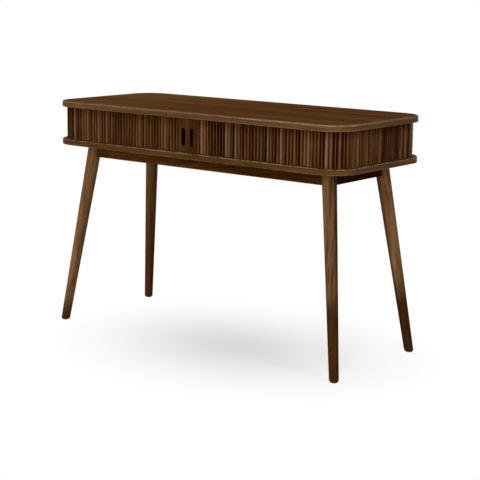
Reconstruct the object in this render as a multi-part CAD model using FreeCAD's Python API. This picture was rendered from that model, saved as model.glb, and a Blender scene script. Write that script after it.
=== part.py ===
import FreeCAD, Part
import os
from math import acos, cos, degrees, pi, sin, sqrt

Vector = FreeCAD.Vector

# The desk stands on z = 0, its front faces -Y and x = 0 is its middle. Lengths are in millimetres.
desk_width = 1200.0
desk_depth = 500.0
desk_height = 780.0
case_height = 150.0
apron_height = 45.0
cut_overrun = 5.0

# Worktop and lower board
board_thickness = 20.0
corner_radius = 86.0
lipping_width = 6.0
worktop_round = 5.0
lower_board_round = 4.0
underside_round = 2.0

# Sliding curtains: slats on canvas in a groove that follows the board's edge
curtain_inset = 16.0
slat_pitch = 12.5
slat_gap = 0.4
slat_thickness = 6.0
slat_shoulder = 1.4
glue_line = 0.2
canvas_thickness = 0.7
canvas_margin = 1.0
groove_depth = 6.0
groove_play = 0.4
slat_foot_play = 0.3
slat_head_play = 0.7

# Pull stiles, one leading each curtain
least_stile_width = 39.0
stile_thickness = 12.0
stile_play = 0.5
stile_round = 1.5
meeting_gap = 1.0
slot_width = 17.0
slot_height = 58.0
slot_inset = 18.5
slot_drop = 7.0
slot_chamfer = 1.5

# Rear corner covers and back, and the jog that takes the groove inside them
cover_thickness = 3.0
cover_play = 0.8
cover_gap = 0.5
jog_radius = 100.0
groove_end_play = 5.0

# Inner walls
liner_thickness = 9.0
divider_thickness = 18.0
side_liner_inset = 41.0
back_liner_inset = 21.0
wall_front_inset = 19.0

# Leg frame
rail_thickness = 22.0
tenon_thickness = 8.0
tenon_height = 30.0
tenon_stop = 12.0
leg_top_radius = 23.5
leg_foot_radius = 15.0
leg_top_inset_x = 109.5
leg_top_inset_y = 102.5
leg_foot_inset_x = 25.0
leg_foot_inset_y = 30.0
leg_foot_round = 3.5
glide_radius = 11.0
glide_height = 3.0
glide_round = 1.0
pin_radius = 2.5
pin_length = 16.0

# Corner braces and their bolts
brace_thickness = 24.0
brace_height = 35.0
brace_gap = 1.5
bolt_radius = 4.0
bolt_depth = 28.0
bolt_reach = 12.0
washer_radius = 9.0
washer_thickness = 1.6
nut_width = 13.0
nut_thickness = 6.5

# Screws and dowels
screw_radius = 2.0
screw_head_radius = 4.0
screw_bite = 10.0
carcass_screw_length = 45.0
brace_screw_spread = 26.0
dowel_radius = 3.0
dowel_in_top = 10.0
dowel_in_wall = 14.0
wall_fixing_shares = (0.12, 0.5, 0.88)
back_fixing_shares = (-0.75, -0.25, 0.25, 0.75)
rail_fixing_shares = (-0.7, -0.25, 0.25, 0.7)

# Two places on the curtain's way nearer than this are one, and so are a line and its arc
straightness = 0.001
# Lets a count that comes out whole stay whole
count_slack_share = 0.001

half_width = desk_width / 2
half_depth = desk_depth / 2
case_bottom = desk_height - case_height
case_floor = case_bottom + board_thickness
case_roof = desk_height - board_thickness
case_clear = case_roof - case_floor
apron_bottom = case_bottom - apron_height

# Slat faces lie on this rectangle, and the canvas runs behind them
face_x = half_width - curtain_inset
face_y = half_depth - curtain_inset
face_radius = corner_radius - curtain_inset
canvas_depth = slat_thickness + glue_line + canvas_thickness / 2
curtain_thickness = slat_thickness + glue_line + canvas_thickness

# Lengths along the canvas of the right-hand curtain, from the middle of the front
front_run = half_width - corner_radius
side_run = desk_depth - corner_radius * 2
front_slats = int((front_run - least_stile_width) / slat_pitch + count_slack_share)
side_slats = int(side_run / slat_pitch + count_slack_share)
travel = (front_slats - 1) * slat_pitch
stile_end = front_run - front_slats * slat_pitch
corner_arc = (face_radius - canvas_depth) * pi / 2
corner_slats = round(corner_arc / slat_pitch)
jog_shift = cover_thickness + cover_play
jog_angle = acos(1 - jog_shift / (jog_radius * 2))
jog_arc = jog_radius * jog_angle
cover_start = side_slats * slat_pitch
side_straight = cover_start - sin(jog_angle) * jog_radius * 2
rear_arc = (face_radius - canvas_depth - jog_shift) * pi / 2
side_end = front_run + corner_arc + side_straight + jog_arc * 2
back_run = travel + groove_end_play - (side_run - cover_start) - rear_arc

# Each stretch of the curtain's way is a length and the angle it turns to the left
curtain_way = (
    (front_run, 0.0),
    (corner_arc, pi / 2),
    (side_straight, 0.0),
    (jog_arc, jog_angle),
    (jog_arc, -jog_angle),
    (side_run - cover_start, 0.0),
    (rear_arc, pi / 2),
    (back_run, 0.0),
)
groove_end = sum(length for length, turn in curtain_way)

# Inner walls
side_liner_outer = face_x - side_liner_inset
back_liner_outer = face_y - back_liner_inset
wall_front = face_y - wall_front_inset
wall_back = back_liner_outer - liner_thickness

# The rails are centred on the legs at half the apron's height
leg_foot_x = half_width - leg_foot_inset_x
leg_foot_y = half_depth - leg_foot_inset_y
leg_top_x = half_width - leg_top_inset_x
leg_top_y = half_depth - leg_top_inset_y
rail_middle = case_bottom - apron_height / 2
rail_share = rail_middle / case_bottom
rail_x = leg_foot_x + (leg_top_x - leg_foot_x) * rail_share
rail_y = leg_foot_y + (leg_top_y - leg_foot_y) * rail_share
inner_x = rail_x - rail_thickness / 2
inner_y = rail_y - rail_thickness / 2

# Distances from the rails' inner corner, along the diagonal towards the desk's middle
diagonal = sqrt(2)
brace_outer = leg_top_radius + brace_gap - (leg_top_x - inner_x + leg_top_y - inner_y) / diagonal
brace_inner = brace_outer + brace_thickness
bolt_z = case_bottom - brace_height / 2

corners = {
    "front_left": (-1, -1),
    "front_right": (1, -1),
    "rear_left": (-1, 1),
    "rear_right": (1, 1),
}


def box(x_range, y_range, z_range):
    size = [high - low for low, high in (x_range, y_range, z_range)]
    return Part.makeBox(*size, Vector(x_range[0], y_range[0], z_range[0]))


def prism(points, bottom, height):
    corner_points = [Vector(x, y, bottom) for x, y in points]
    outline = Part.makePolygon(corner_points + corner_points[:1])
    return Part.Face(outline).extrude(Vector(0, 0, height))


def mirrored(shape):
    return shape.mirror(Vector(0, 0, 0), Vector(1, 0, 0))


# A board's outline, set in all round, with its four corners as quarter circles
def rounded_plate(inset, bottom, height):
    x, y, radius = half_width - inset, half_depth - inset, corner_radius - inset
    far = radius / diagonal
    edges = []
    for sx, sy in ((1, 1), (-1, 1), (-1, -1), (1, -1)):
        centre = Vector(sx * (x - radius), sy * (y - radius), bottom)
        side = centre + Vector(sx * radius, 0, 0)
        end = centre + Vector(0, sy * radius, 0)
        start, finish = (side, end) if sx == sy else (end, side)
        if edges:
            edges.append(Part.makeLine(last, start))
        else:
            first = start
        edges.append(Part.Arc(start, centre + Vector(sx * far, sy * far, 0), finish).toShape())
        last = finish
    edges.append(Part.makeLine(last, first))
    return Part.Face(Part.Wire(edges)).extrude(Vector(0, 0, height))


# The point on the curtain's way at a distance along it and outwards from it, and the heading there
def on_way(distance, outward):
    x, y, heading = 0.0, canvas_depth - face_y, 0.0
    for length, turn in curtain_way:
        step = min(distance, length)
        if turn:
            radius = length / turn
            ahead = heading + step / radius
            x += radius * (sin(ahead) - sin(heading))
            y += radius * (cos(heading) - cos(ahead))
            heading = ahead
        else:
            x += step * cos(heading)
            y += step * sin(heading)
        distance -= step
        if distance <= 0:
            break
    return Vector(x + outward * sin(heading), y - outward * cos(heading), 0), heading


def edge_along_way(start, end, outward):
    first, middle, last = [on_way(s, outward)[0] for s in (start, (start + end) / 2, end)]
    if (middle - (first + last) / 2).Length < straightness:
        return Part.makeLine(first, last)
    return Part.Arc(first, middle, last).toShape()


# A wall of even thickness that follows the curtain's way on the right-hand side
def band(start, end, inward, outward, bottom, height):
    joints, reached = [start], 0.0
    for length, turn in curtain_way:
        reached += length
        if start + straightness < reached < end - straightness:
            joints.append(reached)
    joints.append(end)
    stretches = list(zip(joints, joints[1:]))
    outer = [edge_along_way(a, b, outward) for a, b in stretches]
    inner = [edge_along_way(a, b, -inward) for a, b in stretches]
    caps = [Part.makeLine(on_way(s, -inward)[0], on_way(s, outward)[0]) for s in (start, end)]
    outline = Part.Wire(Part.__sortEdges__(outer + inner + caps))
    solid = Part.Face(outline).extrude(Vector(0, 0, height))
    solid.translate(Vector(0, 0, bottom))
    return solid


def grooves(bottom):
    inward = canvas_thickness / 2 + groove_play
    outward = canvas_depth + groove_play
    right = band(0.0, groove_end, inward, outward, bottom, groove_depth)
    return [right, mirrored(right)]


def rims_at(plate, height):
    return [edge for edge in plate.Edges if abs(edge.BoundBox.ZMin + edge.BoundBox.ZMax - height * 2) < straightness]


def lipping(bottom, upper_round):
    plate = rounded_plate(0, bottom, board_thickness)
    plate = plate.makeFillet(upper_round, rims_at(plate, bottom + board_thickness))
    plate = plate.makeFillet(underside_round, rims_at(plate, bottom))
    return plate.cut(rounded_plate(lipping_width, bottom, board_thickness))


# One slat stands on the origin with the canvas's middle on the X axis, its crown towards -Y
def slat_blank():
    foot = canvas_thickness / 2 + glue_line
    side = (slat_pitch - slat_gap) / 2
    points = [
        Vector(-side, -foot, 0),
        Vector(-side, -foot - slat_shoulder, 0),
        Vector(0, -foot - slat_thickness, 0),
        Vector(side, -foot - slat_shoulder, 0),
        Vector(side, -foot, 0),
    ]
    outline = Part.Wire([
        Part.makeLine(points[0], points[1]),
        Part.Arc(points[1], points[2], points[3]).toShape(),
        Part.makeLine(points[3], points[4]),
        Part.makeLine(points[4], points[0]),
    ])
    bottom = case_floor - groove_depth + slat_foot_play
    top = case_roof + groove_depth - slat_head_play
    blank = Part.Face(outline).extrude(Vector(0, 0, top - bottom))
    blank.translate(Vector(0, 0, bottom))
    return blank


def slats(start, count, pitch):
    blank = slat_blank()
    row = []
    for number in range(count):
        foot, heading = on_way(start + (number + 0.5) * pitch, 0)
        slat = blank.copy()
        slat.rotate(Vector(0, 0, 0), Vector(0, 0, 1), degrees(heading))
        slat.translate(foot)
        row.append(slat)
    return Part.makeCompound(row)


def canvas(start, end):
    half = canvas_thickness / 2
    return band(start, end, half, half, case_floor + canvas_margin, case_clear - canvas_margin * 2)


def slot_cutter(front):
    middle_z = (case_floor + case_roof) / 2 - slot_drop
    radius = slot_width / 2
    reach = slot_height / 2 - radius
    depth = stile_thickness + cut_overrun * 2
    start = front - cut_overrun
    cutter = box(
        (slot_inset - radius, slot_inset + radius),
        (start, start + depth),
        (middle_z - reach, middle_z + reach),
    )
    for z in (middle_z - reach, middle_z + reach):
        cutter = cutter.fuse(Part.makeCylinder(radius, depth, Vector(slot_inset, start, z), Vector(0, 1, 0)))
    return cutter.removeSplitter()


# The stile is as thick as fits in the groove at its ends and thicker between the boards
def pull_stile():
    front = -face_y
    x_range = (meeting_gap / 2, stile_end - slat_gap / 2)
    body = box(x_range, (front, front + stile_thickness), (case_floor + stile_play, case_roof - stile_play))
    uprights = [
        edge for edge in body.Edges
        if edge.BoundBox.ZLength > slot_height and edge.BoundBox.YMax < front + straightness
    ]
    body = body.makeFillet(stile_round, uprights)
    tongue_z = (
        case_floor - groove_depth + slat_foot_play,
        case_roof + groove_depth - slat_head_play,
    )
    tongue = box(
        (x_range[0] + stile_round, x_range[1] - stile_round),
        (front, front + curtain_thickness),
        tongue_z,
    )
    stile = body.fuse(tongue).removeSplitter().cut(slot_cutter(front))
    rim = [
        edge for edge in stile.Edges
        if edge.BoundBox.YMax < front + straightness
        and edge.BoundBox.XMin > slot_inset - slot_width / 2 - straightness
        and edge.BoundBox.XMax < slot_inset + slot_width / 2 + straightness
        and edge.BoundBox.ZMin > case_floor + stile_round
        and edge.BoundBox.ZMax < case_roof - stile_round
    ]
    return stile.makeChamfer(slot_chamfer, rim)


# Bent strip between the boards, from the last end slat round the corner to the back panel
def rear_cover():
    centre = Vector(half_width - corner_radius, half_depth - corner_radius, 0)
    start_y = corner_radius - half_depth + cover_start + cover_gap
    edges = []
    ends = []
    for radius in (face_radius, face_radius - cover_thickness):
        low = Vector(centre.x + radius, start_y, 0)
        tangent = Vector(centre.x + radius, centre.y, 0)
        middle = centre + Vector(radius / diagonal, radius / diagonal, 0)
        last = Vector(centre.x, centre.y + radius, 0)
        edges += [Part.makeLine(low, tangent), Part.Arc(tangent, middle, last).toShape()]
        ends += [low, last]
    edges += [Part.makeLine(ends[0], ends[2]), Part.makeLine(ends[1], ends[3])]
    solid = Part.Face(Part.Wire(Part.__sortEdges__(edges))).extrude(Vector(0, 0, case_clear))
    solid.translate(Vector(0, 0, case_floor))
    return solid


def wall(x_range, y_range):
    return box(x_range, y_range, (case_floor, case_roof))


# Places of the screws and dowels that hold the inner walls between the boards
def wall_fixings():
    side_middle = side_liner_outer - liner_thickness / 2
    back_middle = back_liner_outer - liner_thickness / 2
    spots = []
    for share in wall_fixing_shares:
        y = -wall_front + (wall_back + wall_front) * share
        spots += [(x, y) for x in (-side_middle, 0.0, side_middle)]
    spots += [(share * side_liner_outer, back_middle) for share in back_fixing_shares]
    return spots


# A countersunk screw driven upwards, its head flush with the face it is driven from
def screw(x, y, z, length):
    base = Vector(x, y, z)
    shank = Part.makeCylinder(screw_radius, length, base)
    head = Part.makeCone(screw_head_radius, screw_radius, screw_head_radius - screw_radius, base)
    return shank.fuse(head).removeSplitter()


def dowel(x, y):
    base = Vector(x, y, case_roof - dowel_in_wall)
    return Part.makeCylinder(dowel_radius, dowel_in_wall + dowel_in_top, base)


# A leg before its ends are trimmed level
def leg_cone(sx, sy):
    foot = Vector(sx * leg_foot_x, sy * leg_foot_y, 0)
    axis = Vector(sx * leg_top_x, sy * leg_top_y, case_bottom) - foot
    taper = (leg_top_radius - leg_foot_radius) / axis.Length
    direction = axis / axis.Length
    extra = leg_top_radius
    return Part.makeCone(
        leg_foot_radius - taper * extra,
        leg_top_radius + taper * extra,
        axis.Length + extra * 2,
        foot - direction * extra,
        direction,
    )


def tenon_along_x(sx, sy):
    near = rail_x - leg_top_radius - tenon_stop
    far = rail_x - tenon_stop
    half = tenon_thickness / 2
    return box(
        sorted((sx * near, sx * far)),
        (sy * rail_y - half, sy * rail_y + half),
        (rail_middle - tenon_height / 2, rail_middle + tenon_height / 2),
    )


def tenon_along_y(sx, sy):
    near = rail_y - leg_top_radius - tenon_stop
    far = rail_y - tenon_stop
    half = tenon_thickness / 2
    return box(
        (sx * rail_x - half, sx * rail_x + half),
        sorted((sy * near, sy * far)),
        (rail_middle - tenon_height / 2, rail_middle + tenon_height / 2),
    )


def glide(sx, sy):
    centre = Vector(sx * leg_foot_x, sy * leg_foot_y, 0)
    pad = Part.makeCylinder(glide_radius, glide_height, centre)
    lower = [edge for edge in pad.Edges if edge.BoundBox.ZMax < straightness]
    pad = pad.makeFillet(glide_round, lower)
    return pad.fuse(Part.makeCylinder(pin_radius, glide_height + pin_length, centre)).removeSplitter()


def leg(sx, sy, cutters):
    level = box((-half_width, half_width), (-half_depth, half_depth), (glide_height, case_bottom))
    trimmed = leg_cone(sx, sy).common(level)
    rim = [edge for edge in trimmed.Edges if edge.BoundBox.ZMax < glide_height + straightness]
    return trimmed.makeFillet(leg_foot_round, rim).cut(cutters)


def rail_along_x(sy, screws):
    half = rail_thickness / 2
    rail = box((-rail_x, rail_x), (sy * rail_y - half, sy * rail_y + half), (apron_bottom, case_bottom))
    rail = rail.cut([leg_cone(-1, sy), leg_cone(1, sy)])
    rail = rail.fuse([tenon_along_x(-1, sy), tenon_along_x(1, sy)]).removeSplitter()
    return rail.cut(screws)


def rail_along_y(sx):
    half = rail_thickness / 2
    rail = box((sx * rail_x - half, sx * rail_x + half), (-rail_y, rail_y), (apron_bottom, case_bottom))
    rail = rail.cut([leg_cone(sx, -1), leg_cone(sx, 1)])
    return rail.fuse([tenon_along_y(sx, -1), tenon_along_y(sx, 1)]).removeSplitter()


# A place on the brace's diagonal, and across it, seen from the rails' inner corner
def on_diagonal(sx, sy, inwards, across):
    x = inner_x - (inwards - across) / diagonal
    y = inner_y - (inwards + across) / diagonal
    return Vector(sx * x, sy * y, 0)


def brace(sx, sy, cutters):
    outer = brace_outer * diagonal
    inner = brace_inner * diagonal
    points = [
        (sx * (inner_x - outer), sy * inner_y),
        (sx * (inner_x - inner), sy * inner_y),
        (sx * inner_x, sy * (inner_y - inner)),
        (sx * inner_x, sy * (inner_y - outer)),
    ]
    return prism(points, case_bottom - brace_height, brace_height).cut(cutters)


def along_bolt(sx, sy, start, length, radius):
    base = on_diagonal(sx, sy, start, 0) + Vector(0, 0, bolt_z)
    return Part.makeCylinder(radius, length, base, Vector(-sx, -sy, 0))


def hanger_bolt(sx, sy):
    start = brace_outer - bolt_depth
    return along_bolt(sx, sy, start, brace_inner + bolt_reach - start, bolt_radius)


def hanger_washer(sx, sy):
    disc = along_bolt(sx, sy, brace_inner, washer_thickness, washer_radius)
    return disc.cut(hanger_bolt(sx, sy))


def hanger_nut(sx, sy):
    start = brace_inner + washer_thickness
    base = on_diagonal(sx, sy, start, 0) + Vector(0, 0, bolt_z)
    corner = nut_width / sqrt(3)
    across = Vector(sx, -sy, 0) / diagonal
    points = []
    for number in range(7):
        angle = number * pi / 3
        points.append(base + across * (corner * cos(angle)) + Vector(0, 0, corner * sin(angle)))
    block = Part.Face(Part.makePolygon(points)).extrude(Vector(-sx, -sy, 0) * (nut_thickness / diagonal))
    return block.cut(hanger_bolt(sx, sy))


def brace_screws(sx, sy):
    middle = (brace_outer + brace_inner) / 2
    made = []
    for side in (-1, 1):
        spot = on_diagonal(sx, sy, middle, side * brace_screw_spread / 2)
        made.append(screw(spot.x, spot.y, case_bottom - brace_height, brace_height + screw_bite))
    return made


def rail_screws(sy):
    length = apron_height + screw_bite
    return [screw(share * rail_x, sy * rail_y, apron_bottom, length) for share in rail_fixing_shares]


def case_parts():
    screws = [screw(x, y, case_bottom, carcass_screw_length) for x, y in wall_fixings()]
    dowels = [dowel(x, y) for x, y in wall_fixings()]
    frame_screws = rail_screws(-1) + rail_screws(1)
    for sx, sy in corners.values():
        frame_screws += brace_screws(sx, sy)
    top = rounded_plate(lipping_width, case_roof, board_thickness)
    lower = rounded_plate(lipping_width, case_bottom, board_thickness)
    side_inner = side_liner_outer - liner_thickness
    depth = (-wall_front, wall_back)
    half = divider_thickness / 2
    walls = {
        "centre_divider": wall((-half, half), depth),
        "left_side_liner": wall((-side_liner_outer, -side_inner), depth),
        "right_side_liner": wall((side_inner, side_liner_outer), depth),
        "back_liner": wall((-side_liner_outer, side_liner_outer), (wall_back, back_liner_outer)),
    }
    parts = {
        "desktop_panel": top.cut(grooves(case_roof) + dowels),
        "desktop_lipping": lipping(case_roof, worktop_round),
        "bottom_panel": lower.cut(grooves(case_floor - groove_depth) + screws + frame_screws),
        "bottom_lipping": lipping(case_bottom, lower_board_round),
        "back_panel": wall((-front_run, front_run), (face_y - cover_thickness, face_y)),
        "right_rear_cover": rear_cover(),
        "left_rear_cover": mirrored(rear_cover()),
        "carcass_screws": Part.makeCompound(screws),
        "carcass_dowels": Part.makeCompound(dowels),
    }
    for name, shape in walls.items():
        parts[name] = shape.cut(screws + dowels)
    return parts


def curtain_parts():
    corner_end = front_run + corner_arc
    right = {
        "pull_stile": pull_stile(),
        "front_slats": slats(stile_end, front_slats, slat_pitch),
        "corner_slats": slats(front_run, corner_slats, corner_arc / corner_slats),
        "side_slats": slats(corner_end, side_slats, slat_pitch),
        "front_canvas": canvas(stile_end + slat_gap, front_run - slat_gap),
        "return_canvas": canvas(front_run, side_end),
    }
    parts = {}
    for name, shape in right.items():
        parts["right_" + name] = shape
        parts["left_" + name] = mirrored(shape)
    return parts


def frame_parts():
    parts = {
        "front_rail": rail_along_x(-1, rail_screws(-1)),
        "back_rail": rail_along_x(1, rail_screws(1)),
        "left_rail": rail_along_y(-1),
        "right_rail": rail_along_y(1),
    }
    bolts, washers, nuts, screws = [], [], [], []
    for name, (sx, sy) in corners.items():
        bolt = hanger_bolt(sx, sy)
        foot = glide(sx, sy)
        own_screws = brace_screws(sx, sy)
        parts[name + "_leg"] = leg(sx, sy, [bolt, foot, tenon_along_x(sx, sy), tenon_along_y(sx, sy)])
        parts[name + "_brace"] = brace(sx, sy, [bolt] + own_screws)
        parts[name + "_glide"] = foot
        bolts.append(bolt)
        washers.append(hanger_washer(sx, sy))
        nuts.append(hanger_nut(sx, sy))
        screws += own_screws
    parts["hanger_bolts"] = Part.makeCompound(bolts)
    parts["hanger_washers"] = Part.makeCompound(washers)
    parts["hanger_nuts"] = Part.makeCompound(nuts)
    parts["brace_screws"] = Part.makeCompound(screws)
    parts["rail_screws"] = Part.makeCompound(rail_screws(-1) + rail_screws(1))
    return parts


os.makedirs("parts", exist_ok=True)
desk = {**case_parts(), **curtain_parts(), **frame_parts()}
for name, shape in desk.items():
    shape.exportStep(os.path.join("parts", name + ".step"))
print(len(desk), "nodes; each curtain slides", travel, "mm and has", front_slats, "slats along the front")
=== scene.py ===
import math
import random
from functools import partial

import bmesh
import bpy
from mathutils import Matrix, Vector


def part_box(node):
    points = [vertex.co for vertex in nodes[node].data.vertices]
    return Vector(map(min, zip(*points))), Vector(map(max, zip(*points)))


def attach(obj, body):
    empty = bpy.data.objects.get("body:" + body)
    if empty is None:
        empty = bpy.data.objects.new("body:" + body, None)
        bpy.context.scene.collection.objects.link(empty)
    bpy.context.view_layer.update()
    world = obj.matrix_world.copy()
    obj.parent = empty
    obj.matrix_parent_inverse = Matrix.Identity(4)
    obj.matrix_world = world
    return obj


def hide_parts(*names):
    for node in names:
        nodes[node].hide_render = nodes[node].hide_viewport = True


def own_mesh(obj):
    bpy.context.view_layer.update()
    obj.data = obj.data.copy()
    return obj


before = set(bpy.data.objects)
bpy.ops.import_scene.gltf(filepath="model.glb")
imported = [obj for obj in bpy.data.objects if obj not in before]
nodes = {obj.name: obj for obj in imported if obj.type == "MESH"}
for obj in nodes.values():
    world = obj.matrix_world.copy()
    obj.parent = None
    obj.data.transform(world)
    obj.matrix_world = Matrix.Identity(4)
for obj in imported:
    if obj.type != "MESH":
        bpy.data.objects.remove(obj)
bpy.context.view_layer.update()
print("frame loaded:", len(nodes), "nodes")


# A colour as a screen shows it, 0 to 255, in the linear values that sockets take
def tint(red, green, blue):
    linear = []
    for value in (red, green, blue):
        share = value / 255
        linear.append(share / 12.92 if share <= 0.04045 else ((share + 0.055) / 1.055) ** 2.4)
    return (*linear, 1.0)


# Camera, as the photograph was taken
photoCamera = {
    "place": (2.6527, -3.3523, 1.1800),
    "turn": math.radians(37.99),
    "down": math.radians(9.47),
    "roll": math.radians(0.73),
    "lens": 96.61,
    "sensor": 36.0,
    "shiftY": -0.0833,
    "farthest": 60.0,
}


def addCamera():
    data = bpy.data.cameras.new("photoCamera")
    data.lens = photoCamera["lens"]
    data.sensor_width = photoCamera["sensor"]
    data.shift_y = photoCamera["shiftY"]
    data.clip_end = photoCamera["farthest"]
    camera = bpy.data.objects.new("photoCamera", data)
    bpy.context.scene.collection.objects.link(camera)
    turn = Matrix.Rotation(photoCamera["turn"], 4, "Z")
    down = Matrix.Rotation(math.pi / 2 - photoCamera["down"], 4, "X")
    roll = Matrix.Rotation(photoCamera["roll"], 4, "Z")
    camera.matrix_world = Matrix.Translation(photoCamera["place"]) @ turn @ down @ roll
    bpy.context.scene.camera = camera


addCamera()
print("camera placed")


# Node helpers. A socket takes a plain value or another node's output
def newNode(tree, kind, **values):
    node = tree.nodes.new(kind)
    for name, value in values.items():
        setattr(node, name, value)
    return node


def link(tree, source, target):
    tree.links.new(source, target)


def feed(tree, socket, value):
    if isinstance(value, (int, float, tuple)):
        socket.default_value = value
    elif value is not None:
        link(tree, value, socket)


def maths(tree, operation, first, second=None, third=None, clamp=False):
    node = newNode(tree, "ShaderNodeMath", operation=operation, use_clamp=clamp)
    for socket, value in zip(node.inputs, (first, second, third)):
        feed(tree, socket, value)
    return node.outputs["Value"]


def vectorMaths(tree, operation, first, second=None, output="Vector"):
    node = newNode(tree, "ShaderNodeVectorMath", operation=operation)
    for socket, value in zip(node.inputs, (first, second)):
        feed(tree, socket, value)
    return node.outputs[output]


def spread(tree, value, low, high, newLow=0.0, newHigh=1.0):
    node = newNode(tree, "ShaderNodeMapRange", interpolation_type="SMOOTHSTEP")
    labels = ("Value", "From Min", "From Max", "To Min", "To Max")
    for label, given in zip(labels, (value, low, high, newLow, newHigh)):
        feed(tree, node.inputs[label], given)
    return node.outputs["Result"]


# A Mix node has sockets for each kind of data, and colours use these
def mixColour(tree, share, first, second, blend="MIX"):
    node = newNode(tree, "ShaderNodeMix", data_type="RGBA", blend_type=blend)
    for number, value in ((0, share), (6, first), (7, second)):
        feed(tree, node.inputs[number], value)
    return node.outputs[2]


# The colour times a shade, as far as the mask goes
def shaded(tree, colour, shade, mask=1.0):
    return mixColour(tree, mask, colour, shade, "MULTIPLY")


def noise(tree, place, scale, detail, roughness, distortion=0.0, output="Fac"):
    node = newNode(tree, "ShaderNodeTexNoise")
    labels = ("Vector", "Scale", "Detail", "Roughness", "Distortion")
    for label, value in zip(labels, (place, scale, detail, roughness, distortion)):
        feed(tree, node.inputs[label], value)
    return node.outputs[output]


def oneAxis(tree, vector, axis):
    parts = newNode(tree, "ShaderNodeSeparateXYZ")
    link(tree, vector, parts.inputs[0])
    return parts.outputs[axis]


def surfaceNormal(tree):
    return newNode(tree, "ShaderNodeNewGeometry").outputs["Normal"]


def objectPlace(tree):
    return newNode(tree, "ShaderNodeTexCoord").outputs["Object"]


def curtainPlace(tree):
    return newNode(tree, "ShaderNodeAttribute", attribute_name="curtainPlace").outputs["Vector"]


def addBump(tree, shader, height, strength, distance):
    bump = newNode(tree, "ShaderNodeBump")
    bump.inputs["Strength"].default_value = strength
    bump.inputs["Distance"].default_value = distance
    link(tree, height, bump.inputs["Height"])
    link(tree, bump.outputs["Normal"], shader.inputs["Normal"])


def newMaterial(name):
    material = bpy.data.materials.new(name)
    material.use_nodes = True
    return material, material.node_tree, material.node_tree.nodes["Principled BSDF"]


def newGroup(name, inputs, outputs):
    group = bpy.data.node_groups.new(name, "ShaderNodeTree")
    for way, sockets in (("INPUT", inputs), ("OUTPUT", outputs)):
        for label, kind in sockets.items():
            group.interface.new_socket(label, in_out=way, socket_type="NodeSocket" + kind)
    return group, newNode(group, "NodeGroupInput").outputs, newNode(group, "NodeGroupOutput").inputs


# Walnut grain, in layers: each one's noise is its scale, detail, roughness and distortion
grainLayers = {
    "wander": {"noise": (2.6, 1.0, 0.5), "length": 0.05},
    "broad": {"noise": (0.9, 3.0, 0.5, 0.3), "reach": (0.3, 0.7)},
    "streak": {"noise": (5.5, 5.0, 0.6), "reach": (0.32, 0.68), "gloss": 0.1},
    "fine": {"noise": (38.0, 3.0, 0.65), "height": 0.35},
    "pores": {"noise": (62.0, 2.0, 0.5), "reach": (0.58, 0.7), "dark": 0.7},
}


# Broad bands, streaks along the grain and open pores
def buildWalnutGrain():
    group, given, result = newGroup(
        "walnutGrain",
        {
            "Vector": "Vector", "Stretch": "Vector", "Dark": "Color", "Body": "Color", "Light": "Color",
            "Bands": "Float", "Streaks": "Float", "Pores": "Float",
        },
        {"Color": "Color", "Roughness": "Float", "Height": "Float"},
    )
    wander = grainLayers["wander"]
    drift = noise(group, given["Vector"], *wander["noise"], output="Color")
    drift = vectorMaths(group, "SUBTRACT", drift, (0.5, 0.5, 0.5))
    drift = vectorMaths(group, "MULTIPLY", drift, (wander["length"],) * 3)
    moved = vectorMaths(group, "ADD", given["Vector"], drift)
    place = vectorMaths(group, "MULTIPLY", moved, given["Stretch"])
    layers = {}
    for name in ("broad", "streak", "fine", "pores"):
        layers[name] = noise(group, place, *grainLayers[name]["noise"])
        if "reach" in grainLayers[name]:
            layers[name] = spread(group, layers[name], *grainLayers[name]["reach"])
    towards = maths(group, "SUBTRACT", layers["broad"], 0.5)
    tone = maths(group, "MULTIPLY_ADD", towards, given["Bands"], 0.5)
    for name in ("streak", "fine"):
        towards = maths(group, "SUBTRACT", layers[name], 0.5)
        change = maths(group, "MULTIPLY", towards, given["Streaks"])
        tone = maths(group, "ADD", tone, change, clamp=name == "fine")
    colour = mixColour(group, spread(group, tone, 0.0, 0.5), given["Dark"], given["Body"])
    colour = mixColour(group, spread(group, tone, 0.5, 1.0), colour, given["Light"])
    depth = maths(group, "MULTIPLY", layers["pores"], given["Pores"])
    dark = maths(group, "MULTIPLY", depth, grainLayers["pores"]["dark"])
    link(group, mixColour(group, dark, colour, given["Dark"]), result["Color"])
    gloss = grainLayers["streak"]["gloss"]
    link(group, maths(group, "MULTIPLY_ADD", layers["streak"], -gloss, gloss), result["Roughness"])
    raised = maths(group, "MULTIPLY", layers["fine"], grainLayers["fine"]["height"])
    link(group, maths(group, "SUBTRACT", raised, depth), result["Height"])
    return group


# A rounded edge is painted pale where it faces neither along the axis nor square to it: partly wear,
# partly painted highlight
edgeWearAndHighlightMask = {
    "square": (0.05, 0.3), "along": (0.93, 0.5),
    "noise": (4.0, 0.6), "patchReach": (0.25, 0.6), "spotReach": (0.12, 0.3),
}


def buildEdgeWearAndHighlight():
    group, given, result = newGroup(
        "edgeWearAndHighlight",
        {
            "Vector": "Vector", "Axis": "Vector", "Amount": "Float", "Spot": "Vector", "At Spot": "Float",
            "Patches": "Float", "Least": "Float",
        },
        {"Mask": "Float"},
    )
    facing = vectorMaths(group, "DOT_PRODUCT", surfaceNormal(group), given["Axis"], output="Value")
    facing = maths(group, "ABSOLUTE", facing)
    square = spread(group, facing, *edgeWearAndHighlightMask["square"])
    edge = maths(group, "MULTIPLY", square, spread(group, facing, *edgeWearAndHighlightMask["along"]))
    patches = noise(group, given["Vector"], given["Patches"], *edgeWearAndHighlightMask["noise"])
    patches = spread(group, patches, *edgeWearAndHighlightMask["patchReach"], given["Least"], 1.0)
    away = vectorMaths(group, "DISTANCE", given["Vector"], given["Spot"], output="Value")
    amount = spread(group, away, *edgeWearAndHighlightMask["spotReach"], given["At Spot"], given["Amount"])
    wornAndLit = maths(group, "MULTIPLY", edge, patches)
    link(group, maths(group, "MULTIPLY", wornAndLit, amount), result["Mask"])
    return group


walnutGrain = buildWalnutGrain()
edgeWearAndHighlight = buildEdgeWearAndHighlight()
print("shared node groups built")
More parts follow.
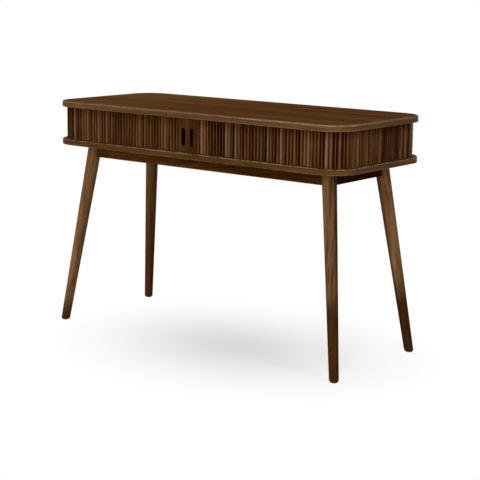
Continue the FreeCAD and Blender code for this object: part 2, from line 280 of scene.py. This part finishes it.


# Walnut finishes. Stretch is large across the grain, and painted shading lightens or darkens the finish
# along an axis, as painted light and shade
walnutUsual = {"bands": 0.5, "streaks": 0.6, "pores": 0.4, "roughness": 0.55, "specular": 0.001}
walnut = {
    "top": {
        "stretch": (1.0, 24.0, 24.0), "dark": (73, 43, 22), "body": (92, 58, 29), "light": (113, 77, 43),
        "bands": 0.45, "streaks": 0.5, "pores": 0.5, "roughness": 0.6, "specular": 0.0,
        # Paler towards the left end: painted light
        "fade": {"by": "place", "axis": "X", "reach": (0.0, -0.42), "shade": (1.18, 1.27, 1.4, 1.0)},
    },
    # The worktop's walnut, darker: painted shade on the ledge below the worktop and inside the case
    "lowPanel": {
        "stretch": (1.0, 24.0, 24.0), "dark": (60, 33, 10), "body": (84, 54, 24), "light": (104, 74, 42),
        "streaks": 0.7, "pores": 0.5, "roughness": 0.6, "specular": 0.02,
    },
    # A darker copy of the inner finish: painted shade inside the case
    "divider": {
        "stretch": (26.0, 1.4, 26.0), "dark": (56, 30, 9), "body": (78, 49, 22), "light": (98, 68, 38),
        "roughness": 0.6, "specular": 0.02,
        # Darker along its front edge: painted shade behind the stiles
        "fade": {
            "by": "place", "axis": "Y", "reach": (-0.2142, -0.2148), "shade": (0.45, 0.38, 0.3, 1.0),
        },
    },
    "edge": {
        "stretch": (2.0, 2.0, 60.0), "dark": (68, 40, 14), "body": (92, 63, 33), "light": (116, 86, 57),
        "bands": 0.3, "roughness": 0.5, "specular": 0.03,
        # Pale on its rounded arris, partly wear and partly painted highlight, most round one spot of the
        # front edge, where the painted highlight is brightest
        "rub": {
            "axis": (0.0, 0.0, 1.0), "amount": 0.44, "patches": 60.0, "least": 0.1,
            "spot": (0.42, -0.25, 0.775), "atSpot": 0.88, "rubbed": (158, 126, 98),
        },
    },
    "lowEdge": {
        "stretch": (2.0, 2.0, 60.0), "dark": (62, 34, 10), "body": (84, 55, 27), "light": (108, 78, 50),
        "bands": 0.4, "streaks": 0.5, "roughness": 0.5, "specular": 0.03,
        # Pale in broken patches along its upper arris: painted highlight and painted reflection, partly
        # wear
        "rub": {
            "axis": (0.0, 0.0, 1.0), "amount": 0.8, "patches": 90.0, "least": -0.9,
            "rubbed": (156, 122, 92),
        },
        # Darker on the narrow ledge in front of the slats: painted shade under the worktop
        "fade": {
            "by": "normal", "axis": "Z", "reach": (0.66, 0.92), "shade": (0.34, 0.24, 0.13, 1.0),
        },
    },
    "slat": {
        "stretch": (40.0, 40.0, 1.6), "dark": (46, 20, 3), "body": (75, 42, 11), "light": (104, 71, 38),
        "bands": 0.35, "streaks": 0.5, "roughness": 0.5,
        # Darker towards the worktop: painted shadow under its overhang
        "fade": {
            "by": "place", "axis": "Z", "reach": (0.722, 0.754), "shade": (0.68, 0.57, 0.46, 1.0),
        },
    },
    "stile": {
        "stretch": (32.0, 32.0, 1.4), "dark": (52, 26, 5), "body": (82, 50, 18), "light": (106, 74, 39),
        "bands": 0.6, "specular": 0.03,
        # Pale on its rounded edges: painted highlight, partly wear
        "rub": {
            "axis": (0.0, -1.0, 0.0), "amount": 0.3, "patches": 26.0, "least": 0.55,
            "rubbed": (142, 110, 82),
        },
        # Darker in its slot and on its edges, behind its front face: painted shade in the recesses
        "fade": {
            "by": "place", "axis": "Y", "reach": (-0.2322, -0.2312), "shade": (0.2, 0.12, 0.06, 1.0),
        },
    },
    "cover": {
        "stretch": (32.0, 32.0, 1.4), "dark": (50, 25, 5), "body": (76, 45, 16), "light": (98, 66, 36),
        "bands": 0.6, "specular": 0.03,
    },
    "railX": {
        "stretch": (1.4, 34.0, 34.0), "dark": (54, 26, 3), "body": (76, 44, 11), "light": (95, 61, 28),
        "bands": 0.6,
    },
    # The end rails are darker than the long rails: painted shade beneath the boards
    "railY": {
        "stretch": (34.0, 1.4, 34.0), "dark": (39, 14, 2), "body": (53, 23, 4), "light": (69, 37, 11),
        "bands": 0.6,
    },
    "leg": {
        "stretch": (30.0, 30.0, 1.5), "dark": (82, 49, 19), "body": (113, 80, 48), "light": (137, 105, 73),
        "streaks": 0.5, "roughness": 0.5, "specular": 0.01,
    },
    "inner": {
        "stretch": (1.6, 1.6, 24.0), "dark": (70, 43, 22), "body": (96, 66, 42), "light": (116, 84, 56),
        "roughness": 0.6, "specular": 0.05,
    },
}
woodBump = {"strength": 0.25, "distance": 0.0004}
# Each stile's tone; the right stile is darker, as painted shade
stileTones = {"left": (0.66, 0.58, 0.5, 1.0), "right": (0.46, 0.41, 0.28, 1.0)}


def addWearAndHighlight(tree, colour, place, values):
    rub = newNode(tree, "ShaderNodeGroup", node_tree=edgeWearAndHighlight)
    link(tree, place, rub.inputs["Vector"])
    rub.inputs["Axis"].default_value = values["axis"]
    rub.inputs["Amount"].default_value = values["amount"]
    rub.inputs["Spot"].default_value = values.get("spot", (0.0, 0.0, 0.0))
    rub.inputs["At Spot"].default_value = values.get("atSpot", values["amount"])
    rub.inputs["Patches"].default_value = values["patches"]
    rub.inputs["Least"].default_value = values["least"]
    return mixColour(tree, rub.outputs["Mask"], colour, tint(*values["rubbed"]))


def walnutMaterial(kind, placeOf=objectPlace, change=None, tone=None):
    values = {**walnutUsual, **walnut[kind]}
    material, tree, shader = newMaterial("walnut" + kind[0].upper() + kind[1:])
    shader.inputs["Specular IOR Level"].default_value = values["specular"]
    place = placeOf(tree)
    grain = newNode(tree, "ShaderNodeGroup", node_tree=walnutGrain)
    link(tree, place, grain.inputs["Vector"])
    grain.inputs["Stretch"].default_value = values["stretch"]
    for socket in ("Dark", "Body", "Light"):
        grain.inputs[socket].default_value = tint(*values[socket.lower()])
    for socket in ("Bands", "Streaks", "Pores"):
        grain.inputs[socket].default_value = values[socket.lower()]
    colour = grain.outputs["Color"]
    if "rub" in values:
        colour = addWearAndHighlight(tree, colour, place, values["rub"])
    if change:
        colour = change(tree, colour)
    if "fade" in values:
        fade = values["fade"]
        source = surfaceNormal(tree) if fade["by"] == "normal" else place
        mask = spread(tree, oneAxis(tree, source, fade["axis"]), *fade["reach"])
        colour = shaded(tree, colour, fade["shade"], mask)
    if tone:
        colour = shaded(tree, colour, tone)
    link(tree, colour, shader.inputs["Base Color"])
    least = values["roughness"] - grainLayers["streak"]["gloss"] / 2
    link(tree, maths(tree, "ADD", grain.outputs["Roughness"], least), shader.inputs["Roughness"])
    addBump(tree, shader, grain.outputs["Height"], **woodBump)
    return material


# Each slat has its own tone, from reddish dark to pale tan, a crown painted pale with wear and painted
# highlight, and painted shade, with some dust, in the gap beside it
slatShades = {
    "darkest": (0.34, 0.27, 0.20, 1.0), "darkReach": (0.5, 0.0),
    "palest": tint(144, 112, 84), "paleReach": (0.5, 1.0), "paleShare": 0.5,
    "gap": (0.4, 0.27, 0.13, 1.0), "gapShadeReach": (0.95, 0.2),
    "rubReach": (0.955, 0.995), "rubShare": 0.35,
}


def slatColour(tree, colour):
    tone = newNode(tree, "ShaderNodeAttribute", attribute_name="slatTone").outputs["Fac"]
    crown = newNode(tree, "ShaderNodeAttribute", attribute_name="slatCrown").outputs["Fac"]
    paler = mixColour(tree, slatShades["paleShare"], colour, slatShades["palest"])
    colour = shaded(tree, colour, slatShades["darkest"], spread(tree, tone, *slatShades["darkReach"]))
    colour = mixColour(tree, spread(tree, tone, *slatShades["paleReach"]), colour, paler)
    colour = shaded(tree, colour, slatShades["gap"], spread(tree, crown, *slatShades["gapShadeReach"]))
    rubbed = spread(tree, crown, *slatShades["rubReach"], 0.0, slatShades["rubShare"])
    return mixColour(tree, rubbed, colour, slatShades["palest"])


# A leg leans by so much for each metre of height, and its grain starts apart from the other legs'
legShape = {
    "footX": 0.575, "footY": 0.22, "radius": 0.0192,
    "leanX": 0.1341, "leanY": 0.1151, "apartX": 3.1, "apartY": 7.3,
}


# Places measured square to each leg's own axis
def legPlace(tree):
    place = objectPlace(tree)
    height = oneAxis(tree, place, "Z")
    joined = newNode(tree, "ShaderNodeCombineXYZ")
    shift = height
    for axis in ("X", "Y"):
        out = oneAxis(tree, place, axis)
        across = maths(tree, "MULTIPLY_ADD", height, legShape["lean" + axis], maths(tree, "ABSOLUTE", out))
        link(tree, across, joined.inputs[axis])
        side = maths(tree, "MULTIPLY", maths(tree, "SIGN", out), legShape["apart" + axis])
        shift = maths(tree, "ADD", shift, side)
    link(tree, shift, joined.inputs["Z"])
    return joined.outputs[0]


# A leg darkens towards the foot, and along one side as painted shade; each leg has its own height, side
# and tone, the tone partly its own wood and partly painted light
legWood = {
    "wander": 0.1, "wanderNoise": (9.0, 2.0, 0.5), "sideShadePainted": (0.5, 0.4, 0.26, 1.0),
    "front_left": {
        "foot": (0.11, 0.03), "footShade": (0.36, 0.26, 0.12, 1.0),
        "heart": (-0.8, -0.6, 0.0), "shadedSideReach": (0.3, 1.4), "tone": (1.1, 1.12, 1.16, 1.0),
    },
    "front_right": {
        "foot": (0.29, 0.19), "footShade": (0.35, 0.25, 0.11, 1.0),
        "heart": (0.8, -0.6, 0.0), "shadedSideReach": (0.4, 0.9), "tone": (0.87, 0.9, 0.95, 1.0),
    },
    "rear_left": {
        "foot": (1.0, 0.2), "footShade": (0.36, 0.26, 0.12, 1.0),
        "heart": (-0.8, 0.6, 0.0), "shadedSideReach": (0.3, 1.2), "tone": (1.2, 1.2, 1.16, 1.0),
    },
    "rear_right": {
        "foot": (0.31, 0.15), "footShade": (0.24, 0.16, 0.07, 1.0),
        "heart": (-0.8, -0.6, 0.0), "shadedSideReach": (0.3, 1.0), "tone": (1.15, 1.2, 1.3, 1.0),
    },
}


def legColour(tree, colour, corner):
    values = legWood[corner]
    place = legPlace(tree)
    height = oneAxis(tree, objectPlace(tree), "Z")
    wavy = noise(tree, place, *legWood["wanderNoise"])
    height = maths(tree, "MULTIPLY_ADD", wavy, legWood["wander"], height)
    foot = [stop + legWood["wander"] / 2 for stop in values["foot"]]
    colour = shaded(tree, colour, values["tone"])
    colour = shaded(tree, colour, values["footShade"], spread(tree, height, *foot))
    fromAxis = vectorMaths(tree, "SUBTRACT", place, (legShape["footX"], legShape["footY"], 0.0))
    across = vectorMaths(tree, "DOT_PRODUCT", fromAxis, values["heart"], output="Value")
    side = maths(tree, "DIVIDE", across, legShape["radius"])
    return shaded(tree, colour, legWood["sideShadePainted"], spread(tree, side, *values["shadedSideReach"]))


# Finishes without a figure: a speckle changes their colour, roughness and height a little
plain = {
    "braceBeech": {"tint": (176, 138, 96), "roughness": 0.6, "speckle": 120.0},
    "dowelBeech": {"tint": (196, 160, 116), "roughness": 0.6, "speckle": 200.0},
    "curtainCanvas": {"tint": (46, 38, 30), "roughness": 0.85, "speckle": 900.0},
    "zincSteel": {"tint": (168, 168, 164), "roughness": 0.35, "speckle": 900.0, "metallic": 1.0},
    "glidePlastic": {"tint": (16, 14, 13), "roughness": 0.6, "speckle": 900.0},
}
plainSpeckle = {
    "noise": (4.0, 0.6), "darker": 0.88, "colourReach": (0.3, 0.7),
    "rougher": 0.06, "roughReach": (0.2, 0.8),
}
plainBump = {"strength": 0.15, "distance": 0.0002}


def plainMaterial(name):
    values = plain[name]
    material, tree, shader = newMaterial(name)
    shader.inputs["Metallic"].default_value = values.get("metallic", 0.0)
    speckle = noise(tree, objectPlace(tree), values["speckle"], *plainSpeckle["noise"])
    pale = tint(*values["tint"])
    dark = (*[value * plainSpeckle["darker"] for value in pale[:3]], 1.0)
    colour = mixColour(tree, spread(tree, speckle, *plainSpeckle["colourReach"]), dark, pale)
    link(tree, colour, shader.inputs["Base Color"])
    least, most = (values["roughness"] + plainSpeckle["rougher"] * sign for sign in (-1, 1))
    rough = spread(tree, speckle, *plainSpeckle["roughReach"], least, most)
    link(tree, rough, shader.inputs["Roughness"])
    addBump(tree, shader, speckle, **plainBump)
    return material


# Every finish, and the nodes that wear it
materials = {"slat": walnutMaterial("slat", curtainPlace, slatColour)}
for kind in ("top", "lowPanel", "divider", "lowEdge", "edge", "cover", "railX", "railY", "inner"):
    materials[kind] = walnutMaterial(kind)
for side, tone in stileTones.items():
    materials[side + "Stile"] = walnutMaterial("stile", tone=tone)
for name in plain:
    materials[name] = plainMaterial(name)
wornBy = {
    "top": ["desktop_panel"],
    "lowPanel": ["bottom_panel", "back_panel"],
    "edge": ["desktop_lipping"],
    "lowEdge": ["bottom_lipping"],
    "cover": ["left_rear_cover", "right_rear_cover"],
    "leftStile": ["left_pull_stile"],
    "rightStile": ["right_pull_stile"],
    "railX": ["front_rail", "back_rail"],
    "railY": ["left_rail", "right_rail"],
    "divider": ["centre_divider"],
    "inner": ["left_side_liner", "right_side_liner", "back_liner"],
    "dowelBeech": ["carcass_dowels"],
    "zincSteel": [
        "hanger_bolts", "hanger_washers", "hanger_nuts", "brace_screws", "rail_screws", "carcass_screws",
    ],
    "braceBeech": [],
    "glidePlastic": [],
}
for corner in ("front_left", "front_right", "rear_left", "rear_right"):
    materials[corner] = walnutMaterial("leg", legPlace, partial(legColour, corner=corner))
    wornBy[corner] = [corner + "_leg"]
    wornBy["braceBeech"].append(corner + "_brace")
    wornBy["glidePlastic"].append(corner + "_glide")


def dress(piece, material):
    piece.data.materials.clear()
    piece.data.materials.append(material)


for finish, names in wornBy.items():
    for name in names:
        dress(nodes[name], materials[finish])
print("finishes on", sum(len(names) for names in wornBy.values()), "nodes")


# The curtains, in the case's own sizes. A row's tones are their middle and how far slats stray from it
curtain = {
    "pitch": 0.0125, "gap": 0.0004, "thickness": 0.006, "shoulder": 0.0014, "glue": 0.0002,
    "canvas": 0.0007, "crownSteps": 10, "sharpFrom": math.radians(30),
    "seed": 11, "tilt": math.radians(0.4), "grainStep": 0.37,
    "frontStart": 0.039, "frontRun": 0.514, "faceY": 0.234, "cornerRadius": 0.07,
    "frontCount": 38, "cornerCount": 8, "sideCount": 26,
    "jogRadius": 0.1, "jogShift": 0.0038, "arcSteps": 8, "leastStep": 0.001,
    "tones": {"left_front_slats": (0.51, 0.22), "right_front_slats": (0.44, 0.36)},
    "endTones": (0.4, 0.32),
    "darkSlats": {"right_front_slats": (17,), "right_side_slats": (13, 14)},
}
slatRise = curtain["thickness"] - curtain["shoulder"]
slatFoot = -curtain["canvas"] / 2 - curtain["glue"]
canvasDepth = curtain["thickness"] - slatFoot
cornerArc = (curtain["cornerRadius"] - canvasDepth) * math.pi / 2
jogAngle = math.acos(1 - curtain["jogShift"] / (curtain["jogRadius"] * 2))
jogArc = curtain["jogRadius"] * jogAngle
sideStraight = curtain["sideCount"] * curtain["pitch"] - math.sin(jogAngle) * curtain["jogRadius"] * 2

# The way of the right-hand curtain from the middle of the front: lengths, and the angle each turns
curtainWay = (
    (curtain["frontRun"], 0.0),
    (cornerArc, math.pi / 2),
    (sideStraight, 0.0),
    (jogArc, jogAngle),
    (jogArc, -jogAngle),
)


def wayPoint(distance):
    x, y, heading = 0.0, canvasDepth - curtain["faceY"], 0.0
    for length, turn in curtainWay:
        step = min(distance, length)
        if turn:
            radius = length / turn
            ahead = heading + step / radius
            x += radius * (math.sin(ahead) - math.sin(heading))
            y += radius * (math.cos(heading) - math.cos(ahead))
            heading = ahead
        else:
            x += step * math.cos(heading)
            y += step * math.sin(heading)
        distance -= step
        if distance <= 0:
            break
    return Vector((x, y, 0.0)), heading


def onlyVerts(parts):
    return [part for part in parts if isinstance(part, bmesh.types.BMVert)]


def toPiece(mesh, name):
    data = bpy.data.meshes.new(name)
    mesh.to_mesh(data)
    mesh.free()
    piece = bpy.data.objects.new(name, data)
    bpy.context.scene.collection.objects.link(piece)
    return piece


# A curtain piece is made on the right, and the left one is its mirror image
def finishCurtainPiece(mesh, name, finish):
    if name.startswith("left"):
        bmesh.ops.scale(mesh, verts=mesh.verts, vec=(-1, 1, 1))
    bmesh.ops.recalc_face_normals(mesh, faces=mesh.faces)
    for face in mesh.faces:
        face.smooth = True
    first, *others = name.split("_")
    piece = toPiece(mesh, first + "".join(word.capitalize() for word in others))
    dress(piece, materials[finish])
    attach(piece, "desk")
    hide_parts(name)
    return piece


# The run in front of the corner gets a mesh of its own
def shortenWithDoor(piece):
    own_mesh(piece)


# One slat on the origin, its crown towards -Y, spun from one shoulder to the other
def slatBlank(mesh, bottom, top):
    side = (curtain["pitch"] - curtain["gap"]) / 2
    radius = (side * side + slatRise * slatRise) / (2 * slatRise)
    shoulder = mesh.verts.new((-side, slatFoot - curtain["shoulder"], bottom))
    bmesh.ops.spin(
        mesh, geom=[shoulder], cent=(0.0, slatFoot - curtain["thickness"] + radius, bottom),
        axis=(0, 0, 1), angle=2 * math.asin(side / radius), steps=curtain["crownSteps"],
    )
    crown = list(mesh.verts)
    feet = [mesh.verts.new((x, slatFoot, bottom)) for x in (side, -side)]
    base = mesh.faces.new(crown + feet)
    grown = bmesh.ops.extrude_face_region(mesh, geom=[base], use_keep_orig=True)["geom"]
    bmesh.ops.translate(mesh, verts=onlyVerts(grown), vec=(0.0, 0.0, top - bottom))
    return list(mesh.verts) + list(mesh.edges) + list(mesh.faces)


def makeSlatRow(name, start, count, pitch):
    mesh = bmesh.new()
    placeLayer = mesh.verts.layers.float_vector.new("curtainPlace")
    toneLayer = mesh.verts.layers.float.new("slatTone")
    crownLayer = mesh.verts.layers.float.new("slatCrown")
    low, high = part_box(name)
    blank = slatBlank(mesh, low.z, high.z)
    for vert in onlyVerts(blank):
        vert[placeLayer] = vert.co
        vert[crownLayer] = max(0.0, (slatFoot - vert.co.y - curtain["shoulder"]) / slatRise)
    chance = random.Random(curtain["seed"] + len(name) * 7 + (3 if name.startswith("left") else 0))
    darkSlats = curtain["darkSlats"].get(name, ())
    middle, stray = curtain["tones"].get(name, curtain["endTones"])
    for number in range(count):
        distance = start + (number + 0.5) * pitch
        spot, heading = wayPoint(distance)
        verts = onlyVerts(bmesh.ops.duplicate(mesh, geom=blank)["geom"])
        turn = heading + chance.uniform(-1, 1) * curtain["tilt"]
        bmesh.ops.rotate(mesh, verts=verts, cent=(0, 0, 0), matrix=Matrix.Rotation(turn, 3, "Z"))
        bmesh.ops.translate(mesh, verts=verts, vec=spot)
        tone = 0.0 if number in darkSlats else max(0.0, min(1.0, chance.gauss(middle, stray)))
        for vert in verts:
            vert[placeLayer] = vert[placeLayer] + Vector((distance + number * curtain["grainStep"], 0, 0))
            vert[toneLayer] = tone
    bmesh.ops.delete(mesh, geom=onlyVerts(blank), context="VERTS")
    piece = finishCurtainPiece(mesh, name, "slat")
    piece.data.set_sharp_from_angle(angle=curtain["sharpFrom"])
    return piece


slatRows = {
    "front": (curtain["frontStart"], curtain["frontCount"], curtain["pitch"]),
    "corner": (curtain["frontRun"], curtain["cornerCount"], cornerArc / curtain["cornerCount"]),
    "side": (curtain["frontRun"] + cornerArc, curtain["sideCount"], curtain["pitch"]),
}
for side in ("left", "right"):
    for stretch, (start, count, pitch) in slatRows.items():
        slats = makeSlatRow(side + "_" + stretch + "_slats", start, count, pitch)
        if stretch == "front":
            shortenWithDoor(slats)
print("slats made")


# Canvas behind the slats, one sheet in front of the corner and one from it to the rear cover
def makeCanvas(name, start, end):
    low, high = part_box(name)
    reached, stops = 0.0, [start]
    for length, turn in curtainWay:
        steps = curtain["arcSteps"] if turn else 1
        for step in range(1, steps + 1):
            stop = reached + length * step / steps
            if start + curtain["leastStep"] < stop < end - curtain["leastStep"]:
                stops.append(stop)
        reached += length
    stops.append(end)
    mesh = bmesh.new()
    placeLayer = mesh.verts.layers.float_vector.new("curtainPlace")
    chain = []
    for stop in stops:
        spot, heading = wayPoint(stop)
        vert = mesh.verts.new(spot + Vector((0, 0, low.z)))
        vert[placeLayer] = (stop, 0.0, low.z)
        chain.append(vert)
    edges = [mesh.edges.new(pair) for pair in zip(chain, chain[1:])]
    upper = onlyVerts(bmesh.ops.extrude_edge_only(mesh, edges=edges)["geom"])
    bmesh.ops.translate(mesh, verts=upper, vec=(0.0, 0.0, high.z - low.z))
    for vert in upper:
        vert[placeLayer] = Vector((vert[placeLayer].x, 0.0, high.z))
    piece = finishCurtainPiece(mesh, name, "curtainCanvas")
    return piece


canvasEnds = {
    "front": (curtain["frontStart"] + curtain["gap"], curtain["frontRun"] - curtain["gap"]),
    "return": (curtain["frontRun"], sum(length for length, turn in curtainWay)),
}
for side in ("left", "right"):
    for stretch, (start, end) in canvasEnds.items():
        canvas = makeCanvas(side + "_" + stretch + "_canvas", start, end)
        if stretch == "front":
            shortenWithDoor(canvas)
print("canvas made")


# Floor, background and lights
studio = {
    "floorColour": (0.8, 0.8, 0.8, 1.0),
    "floorRoughness": 0.9,
    "floorSize": 20.0,
    "floorDrop": 0.0002,
    "bounceColour": (0.4, 0.4, 0.4, 1.0),
    "floorGlow": 0.22,
    "nearFloor": (0.0, 0.76),
    "shadowMiddle": (0.1, -0.06, 0.0),
    "shadowScale": (1.0, 1.2, 1.0),
    "ambient": 0.17,
}
lamps = {
    "front": {"place": (2.4, -3.5, 1.35), "aim": (0.0, 0.0, 0.5), "size": (1.6, 1.6), "power": 112.0},
    "left": {"place": (-2.1, -3.0, 1.6), "aim": (0.0, 0.0, 0.5), "size": (1.4, 1.4), "power": 32.0},
    "right": {"place": (2.4, -0.6, 1.9), "aim": (0.0, 0.0, 0.6), "size": (0.8, 0.8), "power": 11.0},
    "above": {"place": (-1.6, 1.1, 3.0), "aim": (0.0, 0.0, 0.7), "size": (3.0, 3.0), "power": 60.0},
    "rear": {"place": (-0.9, 3.2, 0.45), "aim": (0.0, 0.0, 0.45), "size": (2.4, 0.6), "power": 60.0},
}


# White where the camera, a gloss or a glass looks, and the given light for everything else
def seenDirectly(tree):
    path = newNode(tree, "ShaderNodeLightPath")
    seen = maths(tree, "MAXIMUM", path.outputs["Is Camera Ray"], path.outputs["Is Glossy Ray"])
    return maths(tree, "MAXIMUM", seen, path.outputs["Is Transmission Ray"])


def mixShader(tree, share, first, second):
    node = newNode(tree, "ShaderNodeMixShader")
    for socket, source in zip(node.inputs, (share, first, second)):
        link(tree, source, socket)
    return node.outputs[0]


def glow(tree, kind, strength):
    node = newNode(tree, kind)
    node.inputs["Color"].default_value = (1.0, 1.0, 1.0, 1.0)
    node.inputs["Strength"].default_value = strength
    return node.outputs[0]


# The floor keeps the desk's shadow, runs out into white away from it and is clear from below
def addFloor():
    mesh = bmesh.new()
    bmesh.ops.create_grid(mesh, x_segments=1, y_segments=1, size=studio["floorSize"])
    bmesh.ops.translate(mesh, verts=mesh.verts, vec=(0, 0, -studio["floorDrop"]))
    floor = toPiece(mesh, "studioFloor")
    material, tree, shader = newMaterial("studioFloor")
    shader.inputs["Base Color"].default_value = studio["floorColour"]
    shader.inputs["Roughness"].default_value = studio["floorRoughness"]
    shader.inputs["Specular IOR Level"].default_value = 0.0
    both = newNode(tree, "ShaderNodeAddShader")
    link(tree, shader.outputs[0], both.inputs[0])
    link(tree, glow(tree, "ShaderNodeEmission", studio["floorGlow"]), both.inputs[1])
    away = vectorMaths(tree, "SUBTRACT", objectPlace(tree), studio["shadowMiddle"])
    away = vectorMaths(tree, "MULTIPLY", away, studio["shadowScale"])
    away = spread(tree, vectorMaths(tree, "LENGTH", away, output="Value"), *studio["nearFloor"])
    seen = mixShader(tree, away, both.outputs[0], glow(tree, "ShaderNodeEmission", 1.0))
    bounce = newNode(tree, "ShaderNodeBsdfDiffuse")
    bounce.inputs["Color"].default_value = studio["bounceColour"]
    above = mixShader(tree, seenDirectly(tree), bounce.outputs[0], seen)
    below = newNode(tree, "ShaderNodeNewGeometry").outputs["Backfacing"]
    clear = newNode(tree, "ShaderNodeBsdfTransparent").outputs[0]
    link(tree, mixShader(tree, below, above, clear), tree.nodes["Material Output"].inputs["Surface"])
    dress(floor, material)


def addWorld():
    world = bpy.data.worlds.new("studioWorld")
    bpy.context.scene.world = world
    world.use_nodes = True
    tree = world.node_tree
    tree.nodes.clear()
    soft = glow(tree, "ShaderNodeBackground", studio["ambient"])
    white = glow(tree, "ShaderNodeBackground", 1.0)
    surface = newNode(tree, "ShaderNodeOutputWorld").inputs["Surface"]
    link(tree, mixShader(tree, seenDirectly(tree), soft, white), surface)


def addLamp(name):
    values = lamps[name]
    data = bpy.data.lights.new(name + "Lamp", "AREA")
    data.shape = "RECTANGLE"
    data.size, data.size_y = values["size"]
    data.energy = values["power"]
    lamp = bpy.data.objects.new(name + "Lamp", data)
    bpy.context.scene.collection.objects.link(lamp)
    lamp.visible_camera = False
    lamp.location = values["place"]
    towards = Vector(values["aim"]) - Vector(values["place"])
    lamp.rotation_euler = towards.to_track_quat("-Z", "Y").to_euler()


addFloor()
addWorld()
for name in lamps:
    addLamp(name)
bpy.context.scene.view_settings.view_transform = "Standard"
print("studio lit")
